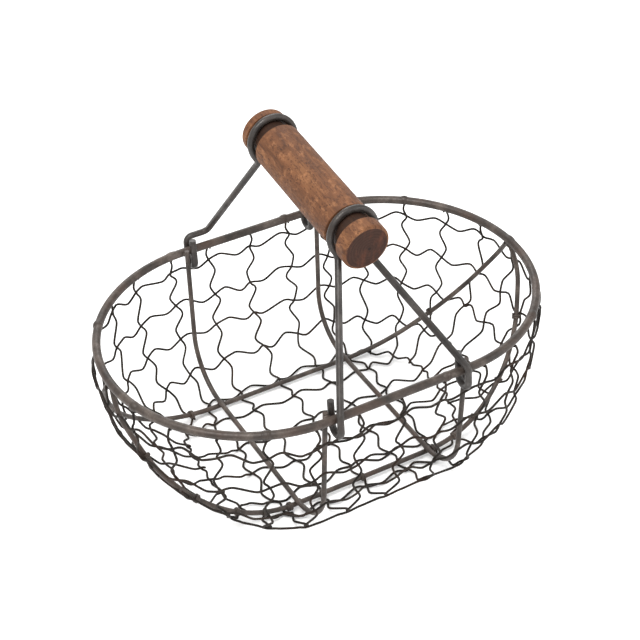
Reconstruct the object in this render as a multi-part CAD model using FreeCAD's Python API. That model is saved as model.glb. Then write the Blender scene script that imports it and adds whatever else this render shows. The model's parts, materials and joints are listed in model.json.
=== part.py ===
import FreeCAD, Part
import math
import os

# Wire egg basket: a stadium-shaped rim, two U ribs, two long base wires, a netting skin outside
# that frame, and a wooden grip carried by two wire bails that hook over the long sides of the rim.
# Millimetres. X runs along the rim, Y across it, Z up. The origin is on the resting plane under
# the middle of the basket. The handle is drawn leaning towards +Y, on its stop.

os.makedirs("parts", exist_ok=True)
V = FreeCAD.Vector
X_AXIS = V(1, 0, 0)
Z_AXIS = V(0, 0, 1)

# Overall sizes
rim_half_width = 88.0        # half the distance between the long sides, wire centre to wire centre
rim_straight = 88.0          # length of each long straight side
rim_height = 91.0            # rim wire centre above the ribs' bottom wire centre

# Wire diameters and clearances
rim_wire = 5.0
rib_wire = 3.0
base_wire = 3.0
bail_wire = 4.0
net_wire = 1.2
weld_gap = 0.1               # between two wires that are welded or tied together
hook_gap = 0.25              # between the rim wire and a net wire bent over it
eye_clearance = 0.45         # between an eye's sides and the rim wire, radially
loop_clearance = 0.8         # between a bail's loop and the bottom of the grip's groove, radially
groove_side_clearance = 0.35

# Ribs
rib_past_bend = 0.5          # ribs stand this far past the ends of the long straight sides
rib_lean = 3.2               # how much narrower the rib is at the bottom corner, each side
rib_corner = 32.0
rib_nub = 3.0                # rib end above the rim wire's centre

# Grip
grip_diameter = 28.4
groove_offset = 45.0         # groove centre from the grip's middle
front_overhang = 14.5        # wood past the front groove's centre
back_overhang = 11.5         # wood past the back groove's centre
grip_chamfer = 1.0
groove_depth = 3.0
groove_bevel = 0.8           # how far each groove wall slopes

# Bails
grip_rise = 80.0             # grip axis above the rim wire's centre with the handle upright
lean_at_rest = 6.4           # extra lean of the front bail with the handle on its stop, degrees
eye_rib_gap = 0.7            # between an eye and the rib beside it
eye_slack = 5.5              # straight part of the eye below the rim wire
eye_tip = 9.0                # end of the eye above the rim wire's centre
eye_height = 3.5             # where the eye's outer side bends into the leg
shoulder_height = 6.5        # the same, for the one eye whose wire first runs along the rim
shoulder_run = 14.0
eye_leg_bend = 4.0
leg_bend = 5.0
loop_half_turn = 120.0       # the loop reaches this far from its top on each side, degrees
short_tail = 4.5             # straight run from the loop's end to the leg's corner
long_tail = 8.5

# Netting
net_columns = 28             # upright wires, evenly spaced all round
rows = 5
first_row = 14.2             # distance down the wall from the rim to the first level wire
last_row_up = 3.9            # last level wire, back up the wall from where the base goes flat
net_hook_bend = 2.9
net_hook_drop = 3.0          # how far the hooked end reaches down inside the rim
net_tail = 1.5               # upright wire past the last level wire
net_frame_gap = 0.2          # from the net to the ribs and base wires that it is drawn over
net_top_straight = 9.0       # least straight wall below the rim; it limits that bend
net_tip_lean = 1.2
net_side_lean = 8.2
row_bend = 8.0
row_bend_allowance = 0.3
row_span = 2                 # columns covered by one length of level wire
row_end_gap = 0.4
base_net_flat_inset = 66.0   # the base net is flat to this far short of the rim's tips, then rises
base_net_slope = 0.45
base_net_rise_run = 3.0      # least length of the rising part
base_net_end_gap = 2.2       # from the base net's wires to the ends of the upright wires
base_net_long_count = 4
base_net_cross_count = 5

# Long base wires, from under the rim's tip down to the flat run
base_run_inset = 0.2         # inside the point where the ribs' flat starts
base_end_x = -0.2            # upper end, past the rim's tip
base_end_y = 2.4
base_end_slant = 34.0        # lean of the upper end from upright, degrees
base_neck_x = 1.4            # first corner, past the rim's tip
base_neck_y = 10.0
base_neck_drop = 15.0        # below the rim wire's centre
base_flank_bearing = 26.1    # second corner, round from the rim's tip, degrees
base_flank_inset = 7.3       # inside the rim wire's centre
base_flank_height = 28.2     # above the ribs' bottom wire centre
base_flat_inset = 62.0       # last corner, short of the rim's tip
base_bends = (50.0, 102.0, 74.0)

# Heights, all from the wires' own sizes
base_drop = (rib_wire + base_wire) / 2 + weld_gap
net_drop = base_drop + (base_wire + net_wire) / 2 + weld_gap
net_layer = net_wire + weld_gap
rib_z = net_drop + net_layer + net_wire / 2
rim_z = rib_z + rim_height
net_z = rib_z - net_drop
net_offset = (rim_wire + net_wire) / 2 + hook_gap
net_end_arc = math.pi * (rim_half_width + net_offset)
column_pitch = 2 * (rim_straight + net_end_arc) / net_columns
net_side_corner = rib_corner + (rib_wire + net_wire) / 2 + weld_gap
net_base_clearance = (base_wire + net_wire) / 2 + net_frame_gap
end_centre_x = rim_straight / 2
tip_x = end_centre_x + rim_half_width

# Places along and across, all from the rim's size
rib_x = end_centre_x + rib_past_bend
eye_x = rib_x - (bail_wire + rib_wire) / 2 - eye_rib_gap
rib_top_y = rim_half_width - (rim_wire + rib_wire) / 2 - weld_gap
rib_corner_y = rib_top_y - rib_lean
rib_turn = math.pi / 2 - math.atan2(rib_lean, rim_height + rib_nub)
base_run_y = rib_corner_y - rib_corner * math.tan(rib_turn / 2) - base_run_inset

# Handle linkage: each bail turns on the rim, and the grip joins the two bails
grip_radius = grip_diameter / 2
groove_radius = grip_radius - groove_depth
loop_radius = groove_radius + loop_clearance + bail_wire / 2
eye_side = (rim_wire + bail_wire) / 2 + eye_clearance
bail_reach = rim_half_width - groove_offset
bail_length = math.hypot(bail_reach, grip_rise)
upright_lean = math.atan2(bail_reach, grip_rise)


def linkage(front_lean):
    """Front groove, back groove (y, z above the rim), back bail's lean and grip's tilt, in radians."""
    front = (-rim_half_width + bail_length * math.sin(front_lean), bail_length * math.cos(front_lean))
    gap_y = rim_half_width - front[0]
    gap_z = -front[1]
    gap = math.hypot(gap_y, gap_z)
    along = (gap * gap + (2 * groove_offset) ** 2 - bail_length ** 2) / (2 * gap)
    across = math.sqrt((2 * groove_offset) ** 2 - along * along)
    back = (front[0] + (along * gap_y - across * gap_z) / gap,
            front[1] + (along * gap_z + across * gap_y) / gap)
    back_lean = math.atan2(rim_half_width - back[0], back[1])
    tilt = math.atan2(back[1] - front[1], back[0] - front[0])
    return front, back, back_lean, tilt


rest_lean = upright_lean + math.radians(lean_at_rest)
front_groove, back_groove, back_rest_lean, grip_tilt = linkage(rest_lean)
rock = grip_tilt + (rest_lean - upright_lean)
groove_half_width = loop_radius * math.sin(rock) + bail_wire / 2 + groove_side_clearance


def bent_path(corners, bends, last_turn=None):
    """Straight runs between corners with a tangent arc at each; the last arc may stop early."""
    edges = []
    start = corners[0]
    for i in range(1, len(corners) - 1):
        before = (corners[i - 1] - corners[i]).normalize()
        after = (corners[i + 1] - corners[i]).normalize()
        turn = math.pi - before.getAngle(after)
        if turn < 1e-4:
            continue
        bend = bends[i - 1]
        into = corners[i] + before * (bend * math.tan(turn / 2))
        middle = (before + after).normalize()
        centre = corners[i] + middle * (bend / math.cos(turn / 2))
        outward = (into - centre).normalize()
        swept = turn
        stops_here = last_turn is not None and i == len(corners) - 2
        if stops_here:
            swept = min(turn, last_turn)
        points = [centre + outward * (bend * math.cos(a)) - before * (bend * math.sin(a))
                  for a in (swept / 2, swept)]
        if (into - start).Length > 1e-4:
            edges.append(Part.makeLine(start, into))
        edges.append(Part.Arc(into, points[0], points[1]).toShape())
        start = points[1]
        if stops_here:
            return edges
    if (corners[-1] - start).Length > 1e-4:
        edges.append(Part.makeLine(start, corners[-1]))
    return edges


def round_wire(edges, diameter):
    """One solid round wire along the joined edges."""
    path = Part.Wire(edges)
    first = edges[0]
    section = Part.Wire(Part.Circle(first.valueAt(first.FirstParameter),
                                    first.tangentAt(first.FirstParameter), diameter / 2).toShape())
    return path.makePipeShell([section], True, False)


def export(name, solids):
    """Write one node; a node of several wires is a group of separate solids."""
    shape = solids[0] if len(solids) == 1 else Part.makeCompound(solids)
    shape.exportStep("parts/" + name + ".step")


def make_rim():
    r = rim_half_width
    c = end_centre_x
    edges = [Part.makeLine(V(-c, -r, rim_z), V(c, -r, rim_z)),
             Part.Arc(V(c, -r, rim_z), V(c + r, 0, rim_z), V(c, r, rim_z)).toShape(),
             Part.makeLine(V(c, r, rim_z), V(-c, r, rim_z)),
             Part.Arc(V(-c, r, rim_z), V(-c - r, 0, rim_z), V(-c, -r, rim_z)).toShape()]
    return round_wire(edges, rim_wire)


def make_rib(x):
    top_z = rim_z + rib_nub
    corners = [V(x, -rib_top_y, top_z), V(x, -rib_corner_y, rib_z), V(x, rib_corner_y, rib_z),
               V(x, rib_top_y, top_z)]
    return round_wire(bent_path(corners, [rib_corner, rib_corner]), rib_wire)


def base_wire_path(side):
    end_z = rim_z - rim_wire / 2 - weld_gap - base_wire / 2 * math.sin(math.radians(base_end_slant))
    flank = math.radians(base_flank_bearing)
    flank_radius = rim_half_width - base_flank_inset
    half = [V(tip_x + base_end_x, side * base_end_y, end_z),
            V(tip_x + base_neck_x, side * base_neck_y, rim_z - base_neck_drop),
            V(end_centre_x + flank_radius * math.cos(flank), side * flank_radius * math.sin(flank),
              rib_z + base_flank_height),
            V(tip_x - base_flat_inset, side * base_run_y, rib_z - base_drop)]
    other = [V(-p.x, p.y, p.z) for p in reversed(half)]
    bends = list(base_bends)
    return bent_path(half + other, bends[:2] + [bends[2], bends[2]] + bends[1::-1])


def bail_side(sign, run, tail):
    """Corners and bends of one side of a bail, from the eye's end up to the leg's upper corner."""
    bend_height = shoulder_height if run > 0 else eye_height
    x = sign * eye_x
    low = -eye_slack - eye_side
    corners = [V(x, eye_side, eye_tip), V(x, eye_side, low), V(x, -eye_side, low),
               V(x, -eye_side, bend_height)]
    bends = [eye_side, eye_side, eye_leg_bend]
    if run > 0:
        corners.append(V(x - sign * run, -eye_side, bend_height))
        bends.append(eye_leg_bend)
    end = math.radians(loop_half_turn)
    touch = V(sign * loop_radius * math.sin(end), bail_reach, grip_rise + loop_radius * math.cos(end))
    down = V(sign * math.cos(end), 0, -math.sin(end))
    corners.append(touch + down * tail)
    bends.append(leg_bend)
    return corners, bends


def make_bail(run, left_tail, right_tail):
    """A bail standing upright over a front pivot at the origin, leaning inwards (+Y)."""
    left, left_bends = bail_side(-1, 0.0, left_tail)
    right, right_bends = bail_side(1, run, right_tail)
    third = math.radians(2 * loop_half_turn / 3)
    reach = loop_radius / math.cos(third / 2)
    loop = [V(reach * math.sin(a), bail_reach, grip_rise + reach * math.cos(a)) for a in (-third, 0, third)]
    corners = left + loop + right[::-1]
    bends = left_bends + [loop_radius] * 3 + right_bends[::-1]
    return round_wire(bent_path(corners, bends), bail_wire)


def make_grip():
    """Turned grip along Y, with the origin midway between its grooves."""
    r = grip_radius
    inner = groove_half_width
    outer = groove_half_width + groove_bevel
    points = []
    for side, overhang in ((-1, front_overhang), (1, back_overhang)):
        end = groove_offset + overhang
        half = [V(r, side * (groove_offset - outer), 0), V(groove_radius, side * (groove_offset - inner), 0),
                V(groove_radius, side * (groove_offset + inner), 0), V(r, side * (groove_offset + outer), 0),
                V(r, side * (end - grip_chamfer), 0), V(r - grip_chamfer, side * end, 0), V(0, side * end, 0)]
        points += half[::side]
    face = Part.Face(Part.makePolygon(points + [points[0]]))
    return face.revolve(V(0, 0, 0), V(0, 1, 0), 360)


def stations():
    """Every upright net wire: centre x and bearing, evenly spaced from the front left round by +X."""
    first = -int(end_centre_x / column_pitch)
    found = []
    for k in range(first, first + net_columns):
        past = k * column_pitch + end_centre_x
        turn = 0.0
        if past > rim_straight + net_end_arc:
            past -= rim_straight + net_end_arc
            turn = 180.0
        x = min(past, rim_straight) - end_centre_x
        bearing = 180.0 * max(0.0, past - rim_straight) / net_end_arc
        found.append((-x if turn else x, bearing - 90.0 + turn))
    return found


def side_of(station):
    """Which group of upright wires a station belongs to."""
    x, bearing = station
    if abs(bearing + 90.0) < 1e-6:
        return "front"
    if abs(bearing - 90.0) < 1e-6:
        return "back"
    return "right" if x > 0 else "left"


def base_wire_line():
    """Points along the base wire at one rounded end: bearing from its centre, radius and height."""
    line = []
    for edge in base_wire_path(1):
        for point in edge.discretize(60):
            if point.x > end_centre_x:
                x = point.x - end_centre_x
                line.append((math.atan2(point.y, x), math.hypot(x, point.y), point.z))
    return sorted(line)


base_line = base_wire_line()


def base_wire_at(bearing):
    """Radius and height of the base wire at a bearing from the tip, 0 to a quarter turn."""
    bearing = max(bearing, base_line[0][0])
    for before, after in zip(base_line, base_line[1:]):
        if before[0] <= bearing <= after[0]:
            share = (bearing - before[0]) / max(after[0] - before[0], 1e-9)
            return tuple(a + (b - a) * share for a, b in zip(before[1:], after[1:]))
    return None


class NetProfile:
    """The wall line at one station, in radius and height: straight down the wall, then a bend."""

    def __init__(self, station):
        self.centre_x = station[0]
        self.bearing = math.radians(station[1])
        side = math.sin(self.bearing) ** 2
        lean = net_tip_lean + (net_side_lean - net_tip_lean) * side
        self.top = (rim_half_width + net_offset, rim_z)
        self.corner = (self.top[0] - lean, net_z)
        length = math.hypot(lean, rim_z - net_z)
        self.down = (-lean / length, (net_z - rim_z) / length)
        turn = math.acos(-self.down[0])
        self.bend = self.tight_bend(length, turn)
        self.straight = length - self.bend * math.tan(turn / 2)
        self.to_flat = self.straight + self.bend * turn

    def tight_bend(self, length, turn):
        """The largest bend that still passes outside the ribs or the base wire at this station."""
        wire = base_wire_at(math.asin(abs(math.sin(self.bearing))))
        if abs(self.centre_x) < end_centre_x or wire is None:
            return net_side_corner
        low = net_side_corner
        high = (length - net_top_straight) / math.tan(turn / 2)
        if self.clears(wire, high, length, turn):
            return high
        for _ in range(40):
            middle = (low + high) / 2
            if self.clears(wire, middle, length, turn):
                low = middle
            else:
                high = middle
        return low

    def clears(self, wire, bend, length, turn):
        straight = length - bend * math.tan(turn / 2)
        centre_r = self.top[0] + self.down[0] * straight + self.down[1] * bend
        centre_z = self.top[1] + self.down[1] * straight - self.down[0] * bend
        away = math.hypot(wire[0] - centre_r, wire[1] - centre_z)
        return wire[0] < centre_r or wire[1] > centre_z or bend - away >= net_base_clearance

    def place(self, radius, z):
        return V(self.centre_x + radius * math.cos(self.bearing), radius * math.sin(self.bearing), z)

    def at(self, distance, outward):
        """Point this far down from the rim, moved outward from the wall."""
        dr, dz = self.down
        run = min(distance, self.straight)
        r = self.top[0] + dr * run
        z = self.top[1] + dz * run
        nr, nz = -dz, dr
        swept = max(0.0, distance - self.straight) / self.bend
        centre_r = r - nr * self.bend
        centre_z = z - nz * self.bend
        out_r = nr * math.cos(swept) + dr * math.sin(swept)
        out_z = nz * math.cos(swept) + dz * math.sin(swept)
        far = self.bend + outward
        return self.place(centre_r + out_r * far, centre_z + out_z * far)


# Spacing of the level wires, from the wall's length at the straight sides
last_row = NetProfile((0.0, -90.0)).to_flat - last_row_up
row_pitch = (last_row - first_row) / (rows - 1)
upright_length = last_row + net_tail


def make_upright(station):
    """An upright net wire, hooked over the rim and bent in under the base."""
    profile = NetProfile(station)
    inside = rim_half_width - net_offset
    over = rim_z + net_offset
    outside = profile.top[0] + net_offset * profile.down[0] / profile.down[1]
    corners = [profile.place(inside, rim_z - net_hook_drop), profile.place(inside, over),
               profile.place(outside, over), profile.place(*profile.corner),
               profile.place(profile.corner[0] - 2 * profile.bend, net_z)]
    swept = (upright_length - profile.straight) / profile.bend
    return round_wire(bent_path(corners, [net_hook_bend, net_hook_bend, profile.bend], swept), net_wire)


def make_row(index, posts):
    """One level net wire, made of short lengths that end behind the upright wires."""
    distance = first_row + row_pitch * index
    nodes = [NetProfile(s).at(distance, net_layer + row_bend_allowance) for s in posts]
    lengths = []
    for first in range(0, len(nodes), row_span):
        last = min(first + row_span, len(nodes))
        corners = [nodes[i % len(nodes)] for i in range(first, last + 1)]
        corners[0] = corners[0] + (corners[1] - corners[0]).normalize() * row_end_gap
        corners[-1] = corners[-1] + (corners[-2] - corners[-1]).normalize() * row_end_gap
        lengths.append(round_wire(bent_path(corners, [row_bend] * (len(corners) - 2)), net_wire))
    return lengths


def wire_end(bearing):
    """Where an upright net wire at this bearing round the +X end stops, under the base."""
    return NetProfile((end_centre_x, bearing)).at(upright_length, 0.0)


def base_reach(low, high, short):
    """Narrow to the bearing where short(wire end) turns from true to false."""
    for _ in range(40):
        middle = (low + high) / 2
        if short(wire_end(middle)):
            low = middle
        else:
            high = middle
    return wire_end(low)


def make_base_long(y):
    z = net_z - net_layer
    end = base_reach(0.0, 90.0, lambda p: p.y < abs(y)).x - base_net_end_gap
    flat = min(tip_x - base_net_flat_inset, end - base_net_rise_run)
    rise = (end - flat) * base_net_slope
    corners = [V(-end, y, z + rise), V(-flat, y, z), V(flat, y, z), V(end, y, z + rise)]
    return round_wire(bent_path(corners, [row_bend, row_bend]), net_wire)


def make_base_cross(x):
    half = base_reach(90.0, 45.0, lambda p: p.x < abs(x)).y - base_net_end_gap
    return round_wire([Part.makeLine(V(x, -half, net_z), V(x, half, net_z))], net_wire)


def place_handle():
    front = make_bail(0.0, short_tail, long_tail)
    front.rotate(V(0, 0, 0), X_AXIS, -math.degrees(rest_lean - upright_lean))
    front.translate(V(0, -rim_half_width, rim_z))
    back = make_bail(shoulder_run, long_tail, short_tail)
    back.rotate(V(0, 0, 0), Z_AXIS, 180)
    back.rotate(V(0, 0, 0), X_AXIS, -math.degrees(upright_lean - back_rest_lean))
    back.translate(V(0, rim_half_width, rim_z))
    grip = make_grip()
    grip.rotate(V(0, 0, 0), X_AXIS, math.degrees(grip_tilt))
    grip.translate(V(0, (front_groove[0] + back_groove[0]) / 2,
                     rim_z + (front_groove[1] + back_groove[1]) / 2))
    export("front_bail", [front])
    export("back_bail", [back])
    export("grip", [grip])


def place_frame():
    export("rim", [make_rim()])
    export("rib_left", [make_rib(-rib_x)])
    export("rib_right", [make_rib(rib_x)])
    export("base_wire_front", [round_wire(base_wire_path(-1), base_wire)])
    export("base_wire_back", [round_wire(base_wire_path(1), base_wire)])


def place_net():
    posts = stations()
    for name in ("front", "right", "back", "left"):
        export("net_uprights_" + name, [make_upright(s) for s in posts if side_of(s) == name])
    for index in range(rows):
        export("net_row_" + str(index + 1), make_row(index, posts))
    long_pitch = 2 * base_run_y / base_net_long_count
    export("net_base_lengthwise", [make_base_long(long_pitch * (i - (base_net_long_count - 1) / 2))
                                   for i in range(base_net_long_count)])
    export("net_base_crosswise", [make_base_cross(column_pitch * (i - (base_net_cross_count - 1) / 2))
                                  for i in range(base_net_cross_count)])


place_frame()
place_handle()
place_net()
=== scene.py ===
import bpy
import bmesh
import json
import math
import random
from mathutils import Matrix, Vector, noise


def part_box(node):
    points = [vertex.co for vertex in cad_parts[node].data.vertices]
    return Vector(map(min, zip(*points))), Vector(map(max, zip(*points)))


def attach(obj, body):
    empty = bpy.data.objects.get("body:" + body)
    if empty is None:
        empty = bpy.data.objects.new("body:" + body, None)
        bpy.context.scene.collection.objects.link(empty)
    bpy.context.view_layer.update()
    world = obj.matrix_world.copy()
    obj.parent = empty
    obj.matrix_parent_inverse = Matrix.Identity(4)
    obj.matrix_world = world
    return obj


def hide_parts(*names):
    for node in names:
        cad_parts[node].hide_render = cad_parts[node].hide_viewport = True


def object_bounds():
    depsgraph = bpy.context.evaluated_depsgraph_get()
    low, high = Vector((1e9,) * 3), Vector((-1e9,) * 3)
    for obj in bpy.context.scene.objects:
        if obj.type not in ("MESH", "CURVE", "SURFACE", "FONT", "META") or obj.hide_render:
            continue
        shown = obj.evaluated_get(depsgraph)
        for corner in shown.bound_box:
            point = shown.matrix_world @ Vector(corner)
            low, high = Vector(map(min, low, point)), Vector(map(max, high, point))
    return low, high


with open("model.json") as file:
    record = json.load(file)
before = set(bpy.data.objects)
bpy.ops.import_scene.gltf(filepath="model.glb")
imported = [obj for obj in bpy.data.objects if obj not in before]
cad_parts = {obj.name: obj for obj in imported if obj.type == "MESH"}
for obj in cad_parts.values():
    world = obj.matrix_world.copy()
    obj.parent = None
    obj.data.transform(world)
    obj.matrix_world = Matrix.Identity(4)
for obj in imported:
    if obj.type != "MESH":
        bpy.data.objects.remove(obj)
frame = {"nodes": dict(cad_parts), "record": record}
cad_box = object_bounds()
MM = 0.001
record = frame["record"]
joints = {j["name"]: j for j in record["behaviour"]["joints"]}


# ---------------------------------------------------------------- camera, floor and light

def place_camera():
    """Front left and above, looking down at the basket's middle."""
    target = Vector((0.01893, 0.03424, 0.05745))
    distance = 0.9641
    azimuth, elevation, roll = (math.radians(a) for a in (-29.213, 38.427, -0.533))
    back = Vector((math.sin(azimuth) * math.cos(elevation), -math.cos(azimuth) * math.cos(elevation),
                   math.sin(elevation)))
    right = Vector((0, 0, 1)).cross(back).normalized()
    up = back.cross(right)
    across = math.cos(roll) * right + math.sin(roll) * up
    upward = -math.sin(roll) * right + math.cos(roll) * up
    data = bpy.data.cameras.new("camera")
    data.lens = 88.61
    data.sensor_width = 36.0
    data.clip_start = 0.01
    data.clip_end = 20.0
    camera = bpy.data.objects.new("camera", data)
    bpy.context.scene.collection.objects.link(camera)
    turn = Matrix((across, upward, back)).transposed().to_4x4()
    camera.matrix_world = Matrix.Translation(target + back * distance) @ turn
    bpy.context.scene.camera = camera


def add_light(name, place, towards, size, power, colour=(1, 1, 1)):
    data = bpy.data.lights.new(name, "AREA")
    data.shape = "RECTANGLE"
    data.size, data.size_y = size
    data.energy = power
    data.color = colour
    light = bpy.data.objects.new(name, data)
    bpy.context.scene.collection.objects.link(light)
    direction = Vector(towards) - Vector(place)
    turn = direction.to_track_quat("-Z", "Y").to_matrix().to_4x4()
    light.matrix_world = Matrix.Translation(place) @ turn


def place_light():
    world = bpy.data.worlds.new("studio")
    world.use_nodes = True
    background = world.node_tree.nodes["Background"]
    background.inputs["Color"].default_value = (1.0, 1.0, 1.0, 1.0)
    background.inputs["Strength"].default_value = 1.0
    bpy.context.scene.world = world
    add_light("key", (-0.5, -0.3, 1.3), (0, 0, 0.05), (0.7, 0.7), 16.0, (1.0, 0.99, 0.97))
    add_light("fill", (1.0, -0.9, 0.7), (0, 0, 0.08), (0.9, 0.6), 4.0, (0.97, 0.98, 1.0))
    add_light("rim_light", (0.4, 1.1, 0.8), (0, 0, 0.1), (0.8, 0.5), 5.0)


def place_floor():
    mesh = bpy.data.meshes.new("floor")
    half = 6.0
    corners = [(-half, -half, 0), (half, -half, 0), (half, half, 0), (-half, half, 0)]
    mesh.from_pydata(corners, [], [(0, 1, 2, 3)])
    floor = bpy.data.objects.new("floor", mesh)
    bpy.context.scene.collection.objects.link(floor)
    material = bpy.data.materials.new("floor_paper")
    material.use_nodes = True
    shader = material.node_tree.nodes["Principled BSDF"]
    shader.inputs["Base Color"].default_value = (0.98, 0.98, 0.98, 1)
    shader.inputs["Roughness"].default_value = 0.9
    shader.inputs["Specular IOR Level"].default_value = 0.1
    mesh.materials.append(material)


# ---------------------------------------------------------------- materials

class Nodes:
    """Short calls for building one material's nodes."""

    def __init__(self, name):
        self.material = bpy.data.materials.new(name)
        self.material.use_nodes = True
        self.tree = self.material.node_tree
        self.shader = self.tree.nodes["Principled BSDF"]
        coordinates = self.tree.nodes.new("ShaderNodeTexCoord")
        self.object = coordinates.outputs["Object"]

    def link(self, source, target):
        self.tree.links.new(source, target)
        return target

    def add(self, kind, **inputs):
        node = self.tree.nodes.new(kind)
        for key, value in inputs.items():
            socket = node.inputs[key.replace("_", " ")]
            if isinstance(value, bpy.types.NodeSocket):
                self.link(value, socket)
            else:
                socket.default_value = value
        return node

    def mapped(self, scale, vector=None):
        node = self.add("ShaderNodeMapping", Vector=vector or self.object)
        node.inputs["Scale"].default_value = scale
        return node.outputs["Vector"]

    def noise(self, vector, scale, detail=4.0, roughness=0.55, distortion=0.0):
        node = self.add("ShaderNodeTexNoise", Vector=vector, Scale=scale, Detail=detail,
                        Roughness=roughness, Distortion=distortion)
        return node.outputs["Fac"]

    def ramp(self, factor, stops):
        node = self.add("ShaderNodeValToRGB", Fac=factor)
        elements = node.color_ramp.elements
        while len(elements) < len(stops):
            elements.new(0.5)
        for element, (position, colour) in zip(elements, stops):
            element.position = position
            element.color = (*colour, 1)
        return node.outputs["Color"]

    def span(self, factor, low, high, to_low, to_high):
        node = self.add("ShaderNodeMapRange", Value=factor)
        limits = (("From Min", low), ("From Max", high), ("To Min", to_low), ("To Max", to_high))
        for key, value in limits:
            node.inputs[key].default_value = value
        return node.outputs["Result"]

    def mix(self, factor, a, b, blend="MIX"):
        node = self.tree.nodes.new("ShaderNodeMix")
        node.data_type = "RGBA"
        node.blend_type = blend
        # a Mix node's colour sockets are its inputs 6 and 7 and its output 2
        for socket, value in ((node.inputs[0], factor), (node.inputs[6], a), (node.inputs[7], b)):
            if isinstance(value, bpy.types.NodeSocket):
                self.link(value, socket)
            elif isinstance(value, tuple):
                socket.default_value = (*value, 1)
            else:
                socket.default_value = value
        return node.outputs[2]

    def length(self, vector):
        node = self.add("ShaderNodeVectorMath", Vector=vector)
        node.operation = "LENGTH"
        return node.outputs["Value"]

    def bump(self, height, strength, distance, normal=None):
        node = self.add("ShaderNodeBump", Height=height, Strength=strength, Distance=distance)
        if normal is not None:
            self.link(normal, node.inputs["Normal"])
        return node.outputs["Normal"]


def wire_material(name, dark, mid, light, rust, metallic, gloss, rough):
    """Old annealed steel wire: patchy grey-brown, faint rust, dull with a few rubbed streaks."""
    n = Nodes(name)
    patches = n.noise(n.object, 85.0, 5.0, 0.6)
    fine = n.noise(n.object, 900.0, 4.0, 0.65)
    colour = n.ramp(patches, ((0.32, dark), (0.5, mid), (0.7, light)))
    rusty = n.span(n.noise(n.mapped((1.0, 1.0, 1.3)), 38.0, 3.0, 0.5), 0.52, 0.7, 0.0, 0.75)
    colour = n.mix(rusty, colour, rust)
    colour = n.mix(n.span(fine, 0.35, 0.65, 0.0, 0.35), colour, dark)
    n.link(colour, n.shader.inputs["Base Color"])
    n.link(n.span(fine, 0.3, 0.7, rough - 0.1, rough + 0.16), n.shader.inputs["Roughness"])
    n.shader.inputs["Metallic"].default_value = metallic
    n.shader.inputs["Specular IOR Level"].default_value = gloss
    coarse = n.bump(n.noise(n.object, 260.0, 3.0, 0.5), 0.35, 0.0006)
    n.link(n.bump(fine, 0.25, 0.00025, coarse), n.shader.inputs["Normal"])
    return n.material


def wood_material(name):
    """Brown-stained turned wood, grain along local Y, with painted shade darkening the grooves."""
    n = Nodes(name)
    bands = n.noise(n.mapped((1.0, 0.16, 1.0)), 110.0, 6.0, 0.62, 0.6)
    streaks = n.noise(n.mapped((1.0, 0.05, 1.0)), 620.0, 4.0, 0.6)
    mottle = n.noise(n.mapped((1.0, 0.7, 1.0)), 210.0, 5.0, 0.7)
    stain = n.noise(n.mapped((1.0, 0.6, 1.0)), 40.0, 3.0, 0.55)
    bark = n.noise(n.mapped((1.0, 0.5, 1.0)), 420.0, 5.0, 0.7)
    colour = n.ramp(bands, ((0.3, (0.078, 0.030, 0.012)), (0.5, (0.150, 0.060, 0.025)),
                            (0.7, (0.215, 0.095, 0.040))))
    colour = n.mix(n.span(streaks, 0.45, 0.66, 0.0, 0.45), colour, (0.052, 0.020, 0.009))
    colour = n.mix(n.span(mottle, 0.52, 0.68, 0.0, 0.7), colour, (0.31, 0.138, 0.060))
    colour = n.mix(n.span(stain, 0.5, 0.7, 0.0, 0.5), colour, (0.080, 0.029, 0.013))
    colour = n.mix(n.span(bark, 0.53, 0.62, 0.0, 0.6), colour, (0.048, 0.018, 0.009))
    flecks = n.noise(n.mapped((1.0, 0.22, 1.0)), 1400.0, 2.0, 0.5)
    colour = n.mix(n.span(flecks, 0.62, 0.69, 0.0, 0.8), colour, (0.040, 0.016, 0.009))
    # painted shade: wood nearer the grip's axis than 12.7 mm (the groove floors and walls) is darkened
    # almost to black
    across = n.length(n.mapped((1.0, 0.0, 1.0)))
    colour = n.mix(n.span(across, 0.0112, 0.0127, 0.85, 0.0), colour, (0.014, 0.007, 0.005))
    n.link(colour, n.shader.inputs["Base Color"])
    n.link(n.span(bands, 0.3, 0.7, 0.55, 0.75), n.shader.inputs["Roughness"])
    n.shader.inputs["Specular IOR Level"].default_value = 0.25
    grain = n.bump(bark, 0.6, 0.0007, n.bump(streaks, 0.45, 0.0005))
    n.link(n.bump(flecks, 0.35, 0.0003, grain), n.shader.inputs["Normal"])
    return n.material


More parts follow.
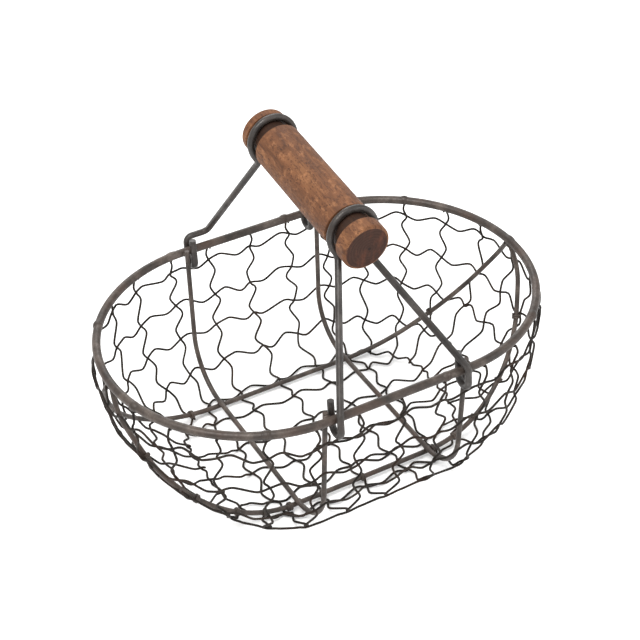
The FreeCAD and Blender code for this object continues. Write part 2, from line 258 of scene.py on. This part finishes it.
def end_grain_material(name):
    """Sawn end of the grip: dark, with faint rings, a pith spot and fine pores."""
    n = Nodes(name)
    flat = n.mapped((1.0, 0.0, 1.0))
    wobble = n.noise(flat, 90.0, 3.0, 0.5)
    shifted = n.add("ShaderNodeVectorMath", Vector=flat)
    shifted.operation = "SUBTRACT"
    shifted.inputs[1].default_value = (0.0018, 0.0, -0.0012)
    from_pith = n.length(shifted.outputs["Vector"])
    warped = n.add("ShaderNodeMath")
    warped.operation = "MULTIPLY_ADD"
    n.link(wobble, warped.inputs[0])
    warped.inputs[1].default_value = 0.0022
    n.link(from_pith, warped.inputs[2])
    ringed = n.add("ShaderNodeMath")
    ringed.operation = "MULTIPLY"
    n.link(warped.outputs["Value"], ringed.inputs[0])
    ringed.inputs[1].default_value = 3400.0
    wave = n.add("ShaderNodeMath")
    wave.operation = "SINE"
    n.link(ringed.outputs["Value"], wave.inputs[0])
    rings = n.span(wave.outputs["Value"], -1.0, 1.0, 0.0, 1.0)
    colour = n.ramp(rings, ((0.0, (0.036, 0.016, 0.011)), (1.0, (0.046, 0.021, 0.014))))
    patch = n.span(n.noise(n.mapped((1.0, 0.0, 0.45)), 190.0, 3.0, 0.6), 0.5, 0.75, 0.0, 0.8)
    colour = n.mix(patch, colour, (0.105, 0.036, 0.020))
    pith = n.span(from_pith, 0.0006, 0.0016, 0.9, 0.0)
    colour = n.mix(pith, colour, (0.018, 0.009, 0.007))
    pores = n.noise(flat, 2600.0, 2.0, 0.5)
    colour = n.mix(n.span(pores, 0.6, 0.7, 0.0, 0.6), colour, (0.02, 0.010, 0.008))
    n.link(colour, n.shader.inputs["Base Color"])
    n.link(n.span(pores, 0.3, 0.7, 0.7, 0.85), n.shader.inputs["Roughness"])
    n.shader.inputs["Specular IOR Level"].default_value = 0.2
    n.link(n.bump(pores, 0.5, 0.0003), n.shader.inputs["Normal"])
    return n.material


frame_wire = wire_material("frame_wire", (0.015, 0.011, 0.008), (0.046, 0.033, 0.026),
                           (0.110, 0.086, 0.071), (0.062, 0.034, 0.023), 0.15, 0.5, 0.44)
bail_wire = wire_material("bail_wire", (0.013, 0.011, 0.010), (0.034, 0.029, 0.026),
                          (0.090, 0.081, 0.076), (0.044, 0.030, 0.023), 0.25, 0.5, 0.36)
net_wire = wire_material("net_wire", (0.008, 0.006, 0.005), (0.018, 0.014, 0.011),
                         (0.040, 0.031, 0.025), (0.034, 0.017, 0.010), 0.0, 0.15, 0.6)
wood = wood_material("stained_wood")
end_grain = end_grain_material("end_grain")


# ---------------------------------------------------------------- shared mesh code

def spline(points, steps, closed=False):
    """Smooth line through the points, with this many samples a span."""
    count = len(points)
    out = []
    spans = count if closed else count - 1
    for i in range(spans):
        if closed:
            p = [points[(i + k - 1) % count] for k in range(4)]
        else:
            p = [points[min(max(i + k - 1, 0), count - 1)] for k in range(4)]
        for s in range(steps):
            t = s / steps
            out.append(0.5 * ((2 * p[1]) + (p[2] - p[0]) * t
                              + (2 * p[0] - 5 * p[1] + 4 * p[2] - p[3]) * t * t
                              + (3 * p[1] - p[0] - 3 * p[2] + p[3]) * t * t * t))
    if not closed:
        out.append(points[-1].copy())
    return out


def tube(bm, path, radius, sides=8, closed=False):
    """Round wire along a path, with rounded-off ends when it is open. One radius, or one a point."""
    count = len(path)
    radii = radius if isinstance(radius, list) else [radius] * count
    rings = []
    normal = None
    for i, p in enumerate(path):
        if closed:
            along = (path[(i + 1) % count] - path[i - 1]).normalized()
        else:
            along = (path[min(i + 1, count - 1)] - path[max(i - 1, 0)]).normalized()
        if normal is None:
            normal = along.orthogonal().normalized()
        normal = (normal - along * normal.dot(along)).normalized()
        side = along.cross(normal)
        rings.append([bm.verts.new(p + (normal * math.cos(a) + side * math.sin(a)) * radii[i])
                      for a in (2 * math.pi * k / sides for k in range(sides))])
    pairs = zip(rings, rings[1:] + rings[:1]) if closed else zip(rings, rings[1:])
    shift = 0
    if closed:
        first, last = rings[0][0].co, rings[-1]
        shift = min(range(sides), key=lambda k: (last[k].co - first).length)
    for i, (a, b) in enumerate(pairs):
        offset = -shift if closed and i == count - 1 else 0
        for k in range(sides):
            bm.faces.new((a[k], a[(k + 1) % sides],
                          b[(k + 1 + offset) % sides], b[(k + offset) % sides]))
    if not closed:
        for ring, end, out, r in ((rings[0], path[0], path[0] - path[1], radii[0]),
                                  (rings[-1], path[-1], path[-1] - path[-2], radii[-1])):
            tip = bm.verts.new(end + out.normalized() * r * 0.45)
            for k in range(sides):
                bm.faces.new((ring[k], ring[(k + 1) % sides], tip))


def finish_piece(bm, name, body, materials, place=None):
    """Smooth-shaded object from the mesh, riding on a body, moved to its place if one is given."""
    bmesh.ops.recalc_face_normals(bm, faces=bm.faces)
    for face in bm.faces:
        face.smooth = True
    mesh = bpy.data.meshes.new(name)
    bm.to_mesh(mesh)
    bm.free()
    for material in materials:
        mesh.materials.append(material)
    piece = bpy.data.objects.new(name, mesh)
    bpy.context.scene.collection.objects.link(piece)
    if place is not None:
        piece.matrix_world = place
    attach(piece, body)
    return piece


# ---------------------------------------------------------------- netting

rim_low, rim_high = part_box("rim")
rim_radius = (rim_high[2] - rim_low[2]) / 2
rim_z = (rim_high[2] + rim_low[2]) / 2
half_width = rim_high[1] - rim_radius
end_centre = rim_high[0] - rim_radius - half_width
base_radius = 1.5 * MM
net_radius = 0.7 * MM
net_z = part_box("net_base_crosswise")[0][2] + net_radius
floor_z = cad_box[0][2] + net_radius
wall_radius = half_width + rim_radius + 0.85 * MM
eye_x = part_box("front_bail")[1][0] - 4 * MM
columns = 28
level_rows = 5
first_row = 14.2 * MM
side_arc = math.pi * wall_radius
around = 4 * end_centre + 2 * side_arc
column_pitch = around / columns


def profile(bearing):
    """Wall line at a bearing: top, direction down, straight length, bend radius."""
    side = math.sin(bearing) ** 2
    lean = (1.2 + 7.0 * side) * MM
    height = rim_z - net_z
    length = math.hypot(lean, height)
    down = (-lean / length, -height / length)
    turn = math.acos(-down[0])
    bend = (34.2 + 54.2 * (1 - side) ** 0.8) * MM
    bend = min(bend, (length - 9.0 * MM) / math.tan(turn / 2))
    straight = length - bend * math.tan(turn / 2)
    return down, straight, bend, turn


def station(along):
    """Centre x and bearing at a distance round the wall, from the front middle towards +X."""
    along %= around
    quarter = end_centre
    if along <= quarter:
        return along, -math.pi / 2
    if along <= quarter + side_arc:
        return end_centre, -math.pi / 2 + (along - quarter) / wall_radius
    if along <= 3 * quarter + side_arc:
        return end_centre - (along - quarter - side_arc), math.pi / 2
    if along <= 3 * quarter + 2 * side_arc:
        return -end_centre, math.pi / 2 + (along - 3 * quarter - side_arc) / wall_radius
    return along - around, -math.pi / 2


def on_wall(along, distance, outward=0.0):
    """Point on the net's surface, this far round it and down from the rim."""
    centre_x, bearing = station(along)
    (dr, dz), straight, bend, turn = profile(bearing)
    run = min(distance, straight)
    r = wall_radius + dr * run
    z = rim_z + dz * run
    nr, nz = -dz, dr
    swept = min(max(0.0, distance - straight) / bend, turn)
    beyond = max(0.0, distance - straight - bend * turn)
    out_r = nr * math.cos(swept) + dr * math.sin(swept)
    out_z = nz * math.cos(swept) + dz * math.sin(swept)
    radius = r - nr * bend + out_r * (bend + outward) - beyond
    height = z - nz * bend + out_z * (bend + outward)
    return Vector((centre_x + radius * math.cos(bearing), radius * math.sin(bearing), height))


_, side_straight, side_bend, side_turn = profile(math.pi / 2)
last_row = side_straight + side_bend * side_turn - 3.9 * MM
row_pitch = (last_row - first_row) / (level_rows - 1)
upright_length = last_row + 1.5 * MM

rng = random.Random(7)
jitter = {(k, j): (rng.uniform(-1.4, 1.4) * MM, rng.uniform(-1.3, 1.3) * MM)
          for k in range(columns) for j in range(level_rows)}
over = 0.7 * MM             # level wires outside, upright wires inside


def net_node(k, j):
    dx, dd = jitter[(k % columns, j)]
    if j == 0:
        dd *= 0.5
    if j == level_rows - 1:
        dx, dd = dx * 0.5, -abs(dd) * 0.5
    return k * column_pitch + dx, first_row + j * row_pitch + dd


def lean_of(k):
    """Which way the waves of a column go first: +1 towards the next column."""
    centre_x, bearing = station(k * column_pitch)
    facing = 1 if math.sin(bearing) > 0 else -1
    return (1 if centre_x < 8 * MM else -1) * -facing


def wave(points, a, b, swings, size, place):
    """Control points between two net nodes, two to a bend, swung to one side and then the other."""
    length = math.hypot(b[0] - a[0], b[1] - a[1])
    size *= min(1.0, length / (20 * MM))
    for t, swing in ((t + shift, swing) for t, swing in swings for shift in (-0.075, 0.075)):
        u = a[0] + (b[0] - a[0]) * t
        v = a[1] + (b[1] - a[1]) * t
        nu, nv = -(b[1] - a[1]) / length, (b[0] - a[0]) / length
        points.append(place(u + nu * swing * size, v + nv * swing * size))


def upright_points(k):
    """Control points of one upright wire, from under the rim and down to the base."""
    base = k * column_pitch
    top = net_node(k, 0)
    centre_x, bearing = station(base + rng.uniform(-1, 1) * MM)
    r = rim_radius + net_radius + 0.1 * MM

    def round_rim(angle, along=0.0):
        outward = half_width + r * math.cos(angle)
        side = Vector((-math.sin(bearing), math.cos(bearing), 0)) * along
        return Vector((centre_x + outward * math.cos(bearing), outward * math.sin(bearing),
                       rim_z + r * math.sin(angle))) + side

    points = [round_rim(math.radians(d)) for d in (-92, -70, -46)]
    sway = rng.choice((-1, 1)) * rng.uniform(1.2, 2.4) * MM
    points.append(on_wall((base + top[0]) / 2 + sway, top[1] * 0.62, -over * 0.5))
    for j in range(level_rows):
        a = net_node(k, j)
        points.append(on_wall(a[0], a[1], -over))
        if j + 1 < level_rows:
            b = net_node(k, j + 1)
            size = rng.uniform(2.1, 3.0) * MM * lean_of(k)
            early, late = rng.uniform(0.2, 0.32), rng.uniform(0.66, 0.8)
            wave(points, a, b, ((early, -1.0), (late, rng.uniform(0.75, 1.0))), size,
                 lambda u, v: on_wall(u, v, -over * 0.3))
    points.append(on_wall(net_node(k, level_rows - 1)[0], upright_length, -over * 0.5))
    return points


def row_points(j):
    """Control points of one level wire, all the way round."""
    points = []
    for k in range(columns):
        a, b = net_node(k, j), net_node(k + 1, j)
        points.append(on_wall(a[0], a[1], over))
        chord = (on_wall(*b) - on_wall(*a)).length
        size = rng.uniform(1.9, 2.8) * MM * lean_of(k) * min(1.0, chord / (22 * MM)) ** 1.3
        early, late = rng.uniform(0.22, 0.32), rng.uniform(0.68, 0.8)
        wave(points, a, b, ((early, -1.0), (late, rng.uniform(0.7, 1.0))), size,
             lambda u, v: on_wall(u, below_eyes(u, v), over * 0.4))
    return points


def below_eyes(along, distance):
    """Distance down the wall, kept clear of the bails' eyes where they hang below the rim."""
    centre_x, bearing = station(along)
    on_side = abs(abs(bearing) - math.pi / 2) < 0.2
    return max(distance, 13.4 * MM) if on_side and abs(abs(centre_x) - eye_x) < 10 * MM else distance


def settle(path):
    """The path with nothing lower than the resting wires."""
    return [Vector((p.x, p.y, max(p.z, floor_z))) for p in path]


def group_of(k):
    centre_x, bearing = station(k * column_pitch)
    if abs(abs(bearing) - math.pi / 2) < 1e-6 and abs(centre_x) < end_centre - 1e-6:
        return "front" if bearing < 0 else "back"
    return "right" if centre_x > 0 else "left"


def make_wall_net():
    """The upright wires in four pieces and each level wire as one, in place of the smooth ones."""
    for group in ("front", "right", "back", "left"):
        bm = bmesh.new()
        for k in range(columns):
            if group_of(k) == group:
                tube(bm, settle(spline(upright_points(k), 5)), net_radius)
        piece = finish_piece(bm, "wavy_uprights_" + group, "basket", [net_wire])
        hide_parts("net_uprights_" + group)
    for j in range(level_rows):
        bm = bmesh.new()
        tube(bm, settle(spline(row_points(j), 5, closed=True)), net_radius, closed=True)
        piece = finish_piece(bm, "wavy_row_" + str(j + 1), "basket", [net_wire])
        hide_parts("net_row_" + str(j + 1))


def make_base_net():
    """Lengthwise wires and crosswise wires above them, each run out to the nearest upright's end."""
    long_low, long_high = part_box("net_base_lengthwise")
    cross_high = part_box("net_base_crosswise")[1]
    reach = 24 * MM
    ends = [on_wall(net_node(k, level_rows - 1)[0], upright_length) for k in range(columns)]
    long_outer = long_high[1] - net_radius
    ys = [long_outer * f for f in (-1.0, -1 / 3, 1 / 3, 1.0)]
    cross_outer = cross_high[0] - net_radius
    count = 5
    xs = [cross_outer * (2 * i / (count - 1) - 1) for i in range(count)]
    shift = {(i, n): (rng.uniform(-2, 2) * MM, rng.uniform(-2, 2) * MM)
             for i in range(count) for n in range(len(ys))}

    def crossing(i, n):
        dx, dy = shift[(i, n)]
        return xs[i] + dx, ys[n] + dy

    def nearest_end(x, y):
        return min(ends, key=lambda p: (p.x - x) ** 2 + (p.y - y) ** 2)

    long_z = long_low[2] + net_radius
    for name, node, lines, z, reach_x, reach_y in (
            ("wavy_base_lengthwise", "net_base_lengthwise",
             [[crossing(i, n) for i in range(count)] for n in range(len(ys))], long_z, reach, 0.0),
            ("wavy_base_crosswise", "net_base_crosswise",
             [[crossing(i, n) for n in range(len(ys))] for i in range(count)], net_z, 0.0, reach)):
        bm = bmesh.new()
        for line in lines:
            first, last = line[0], line[-1]
            start = nearest_end(first[0] - reach_x, first[1] - reach_y)
            stop = nearest_end(last[0] + reach_x, last[1] + reach_y)
            points = [start]
            stations = [(start.x, start.y)] + line + [(stop.x, stop.y)]
            for a, b in zip(stations, stations[1:]):
                size = rng.uniform(1.6, 2.6) * MM * rng.choice((1, 1, -1))
                height = z
                if a not in line or b not in line:
                    height = (z + (start.z if a == stations[0] else stop.z)) / 2
                wave(points, a, b, ((0.27, 1.0), (0.73, -0.9)), size, lambda u, v: Vector((u, v, height)))
                if b in line:
                    points.append(Vector((b[0], b[1], z)))
            points.append(stop)
            tube(bm, settle(spline(points, 5)), net_radius)
        piece = finish_piece(bm, name, "basket", [net_wire])
        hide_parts(node)


def rim_point(along, angle=0.0, r=0.0):
    """Point on the rim's line, or this far from it at an angle round it (0 outward, 90 up)."""
    centre_x, bearing = station(along)
    radius = half_width + r * math.cos(angle)
    return Vector((centre_x + radius * math.cos(bearing), radius * math.sin(bearing),
                   rim_z + r * math.sin(angle)))


def make_rim_bumps():
    """Smooth swellings where the netting's ends are wound round the rim."""
    bm = bmesh.new()
    steps = 18
    for k in range(1, columns, 3):
        spot = k * column_pitch + rng.uniform(-3, 3) * MM
        half = rng.uniform(2.2, 3.6) * MM
        high = rng.uniform(0.45, 0.85) * MM
        angle = rng.uniform(-0.5, 1.2)
        path, radii = [], []
        for i in range(steps + 1):
            t = 2 * i / steps - 1
            swell = (1 - t * t) ** 1.5 * (1 + 0.10 * math.sin(i * 2.1))
            path.append(rim_point(spot + t * half, angle, high * 0.45 * swell))
            radii.append(rim_radius * 0.985 + high * 0.55 * swell)
        tube(bm, path, radii, 20)
    finish_piece(bm, "rim_bumps", "basket", [frame_wire])


def base_wire_spot(points, end, bearing):
    """Middle of a base wire where it passes a bearing of one rounded end."""
    found = [p for p in points if p.x * end > end_centre
             and abs(math.atan2(p.y, abs(p.x) - end_centre) - bearing) < 0.05]
    return sum(found, Vector()) / len(found) if found else None


def knot_spots(name, side):
    """Where the chosen upright wires cross a base wire: place and direction of the wire."""
    points = [v.co.copy() for v in frame["nodes"][name].data.vertices]
    low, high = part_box(name)
    run_y = high[1] - base_radius if side > 0 else low[1] + base_radius
    for k in range(columns):
        centre_x, bearing = station(k * column_pitch)
        if math.sin(bearing) * side < 0.12 or (side > 0 and k % 4 != 1):
            continue
        if group_of(k) in ("front", "back"):
            if k % 3 == 0:
                yield Vector((centre_x, run_y, low[2] + base_radius)), Vector((1, 0, 0))
            continue
        end = 1 if centre_x > 0 else -1
        local = math.atan2(math.sin(bearing), abs(math.cos(bearing)))
        here = base_wire_spot(points, end, local)
        there = base_wire_spot(points, end, local - side * 0.12)
        if here and there:
            yield here, (there - here).normalized()


def make_base_knots():
    """Where an upright wire crosses a base wire its end is wound once or twice round it."""
    bm = bmesh.new()
    knot_pitch = 1.15 * MM
    for name, side in (("base_wire_front", -1), ("base_wire_back", 1)):
        for spot, along in knot_spots(name, side):
            across = along.orthogonal().normalized()
            lift = along.cross(across)
            turns = rng.choice((1.3, 1.8, 2.3))
            steps = int(turns * 10)
            path = []
            for i in range(steps + 1):
                a = 2 * math.pi * turns * i / steps
                path.append(spot + along * (i / steps - 0.5) * knot_pitch * turns
                            + (across * math.cos(a) + lift * math.sin(a))
                            * (base_radius + net_radius * 0.8))
            tube(bm, path, net_radius, 8)
    finish_piece(bm, "base_knots", "basket", [frame_wire])


# ---------------------------------------------------------------- grip

def make_grip():
    """Turned dowel with a groove for each loop, slightly worn, its local Y along the grain."""
    low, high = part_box("grip")
    centre = Vector((0, (low[1] + high[1]) / 2, (low[2] + high[2]) / 2))
    front = Vector(joints["grip_rock"]["pos_m"])
    axis = (centre - front).normalized()
    radius = (high[0] - low[0]) / 2
    groove = 45 * MM                     # from the middle to each groove
    depth = 3.0 * MM
    half = 5.32 * MM                     # half the width of a groove's floor
    origin = front + axis * groove
    groove_radius = radius - depth
    bevel = 0.8 * MM
    round_off = 1.6 * MM
    ends = (-groove - 14.5 * MM, groove + 11.5 * MM)

    def radius_at(y):
        r = radius
        for side in (-1, 1):
            away = abs(y - side * groove)
            if away < half:
                r = groove_radius
            elif away < half + bevel:
                r = groove_radius + depth * (away - half) / bevel
        near_end = min(y - ends[0], ends[1] - y)
        if near_end < round_off:
            drop = round_off - near_end
            r = min(r, radius - round_off + math.sqrt(max(0.0, round_off ** 2 - drop ** 2)))
        return r

    ys = set()
    for end, inward in ((ends[0], 1), (ends[1], -1)):
        ys.update(end + inward * round_off * (1 - math.cos(math.radians(d))) for d in range(0, 91, 15))
    for side in (-1, 1):
        for edge in (half, half + bevel):
            for s in (-1, 1):
                middle = side * groove + s * edge
                ys.update((middle - 0.1 * MM, middle, middle + 0.1 * MM))
    step = ends[0] + 3 * MM
    while step < ends[1] - 2 * MM:
        ys.add(step)
        step += 1.5 * MM
    ys = sorted(ys)
    bm = bmesh.new()
    segments = 72
    rings = []
    for y in ys:
        ring = []
        for k in range(segments):
            a = 2 * math.pi * k / segments
            r = radius_at(y)
            point = Vector((r * math.cos(a), y, r * math.sin(a)))
            worn = noise.noise(Vector((point.x * 60, y * 25, point.z * 60)))
            point.x *= 1 - 0.010 * (0.5 + 0.5 * worn)
            point.z *= 1 - 0.010 * (0.5 + 0.5 * worn)
            ring.append(bm.verts.new(point))
        rings.append(ring)
    for a, b in zip(rings, rings[1:]):
        for k in range(segments):
            bm.faces.new((a[k], a[(k + 1) % segments], b[(k + 1) % segments], b[k]))
    for ring, y, inward in ((rings[0], ys[0], 1), (rings[-1], ys[-1], -1)):
        previous = ring
        for share in (0.8, 0.55, 0.3):
            inner = []
            for k, vert in enumerate(ring):
                x, z = vert.co.x * share, vert.co.z * share
                sunk = 0.12 * MM * (1 + noise.noise(Vector((x * 300, y, z * 300))))
                inner.append(bm.verts.new((x, y + inward * sunk, z)))
            for k in range(segments):
                face = bm.faces.new((previous[k], previous[(k + 1) % segments],
                                     inner[(k + 1) % segments], inner[k]))
                face.material_index = 1
            previous = inner
        tip = bm.verts.new((0, y + inward * 0.2 * MM, 0))
        for k in range(segments):
            face = bm.faces.new((previous[k], previous[(k + 1) % segments], tip))
            face.material_index = 1
    level = Vector((1, 0, 0))
    turn = Matrix((level, axis, level.cross(axis))).transposed().to_4x4()
    place = Matrix.Translation(origin) @ turn
    grip = finish_piece(bm, "turned_grip", "grip", [wood, end_grain], place)
    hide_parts("grip")


# ---------------------------------------------------------------- welds

def add_bead(bm, place, size, seed, squash=(1, 1, 1)):
    """A small uneven lump of weld metal."""
    made = bmesh.ops.create_icosphere(bm, subdivisions=3, radius=1.0)
    for vert in made["verts"]:
        bump = 1 + 0.22 * noise.noise(vert.co * 1.7 + Vector((seed, 2.0 * seed, -seed)))
        vert.co = Vector(place) + Vector((vert.co.x * squash[0], vert.co.y * squash[1],
                                          vert.co.z * squash[2])) * (bump * size)


def make_welds():
    """Beads where the ribs meet the rim and the base wires, and where the base wires meet the rim."""
    bm = bmesh.new()
    seed = 1.0
    for rib in ("rib_left", "rib_right"):
        low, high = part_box(rib)
        x = (low[0] + high[0]) / 2
        wire = (high[0] - low[0]) / 2
        for side in (-1, 1):
            seed += 1.37
            inner = half_width - rim_radius - 0.3 * MM
            add_bead(bm, (x, side * inner, rim_z + 0.4 * MM), 2.1 * MM, seed, (1.05, 0.6, 0.9))
            for wire_name in ("base_wire_front", "base_wire_back"):
                wire_low, wire_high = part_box(wire_name)
                y = wire_low[1] + wire if wire_name.endswith("front") else wire_high[1] - wire
                if (y < 0) == (side < 0):
                    seed += 0.9
                    add_bead(bm, (x + 0.9 * MM, y, low[2] + 0.1 * MM), 1.9 * MM, seed, (1.2, 1.1, 0.7))
    for end in (-1, 1):
        seed += 1.1
        tip = end * (end_centre + half_width)
        add_bead(bm, (tip, 0, rim_z - rim_radius - 1.0 * MM), 2.3 * MM, seed, (0.7, 1.5, 0.7))
    finish_piece(bm, "weld_beads", "basket", [frame_wire])


def set_material(node, material):
    if not node.material_slots:
        node.data.materials.append(material)
    for holder in node.material_slots:
        holder.material = material


def dress_cad_nodes():
    """Wire finish on the CAD nodes that keep their shape."""
    for name in ("rim", "rib_left", "rib_right", "base_wire_front", "base_wire_back"):
        set_material(frame["nodes"][name], frame_wire)
    for name in ("front_bail", "back_bail"):
        set_material(frame["nodes"][name], bail_wire)


bpy.context.scene.view_settings.view_transform = "Standard"
place_camera()
place_light()
place_floor()
make_wall_net()
make_base_net()
make_rim_bumps()
make_base_knots()
make_grip()
make_welds()
dress_cad_nodes()
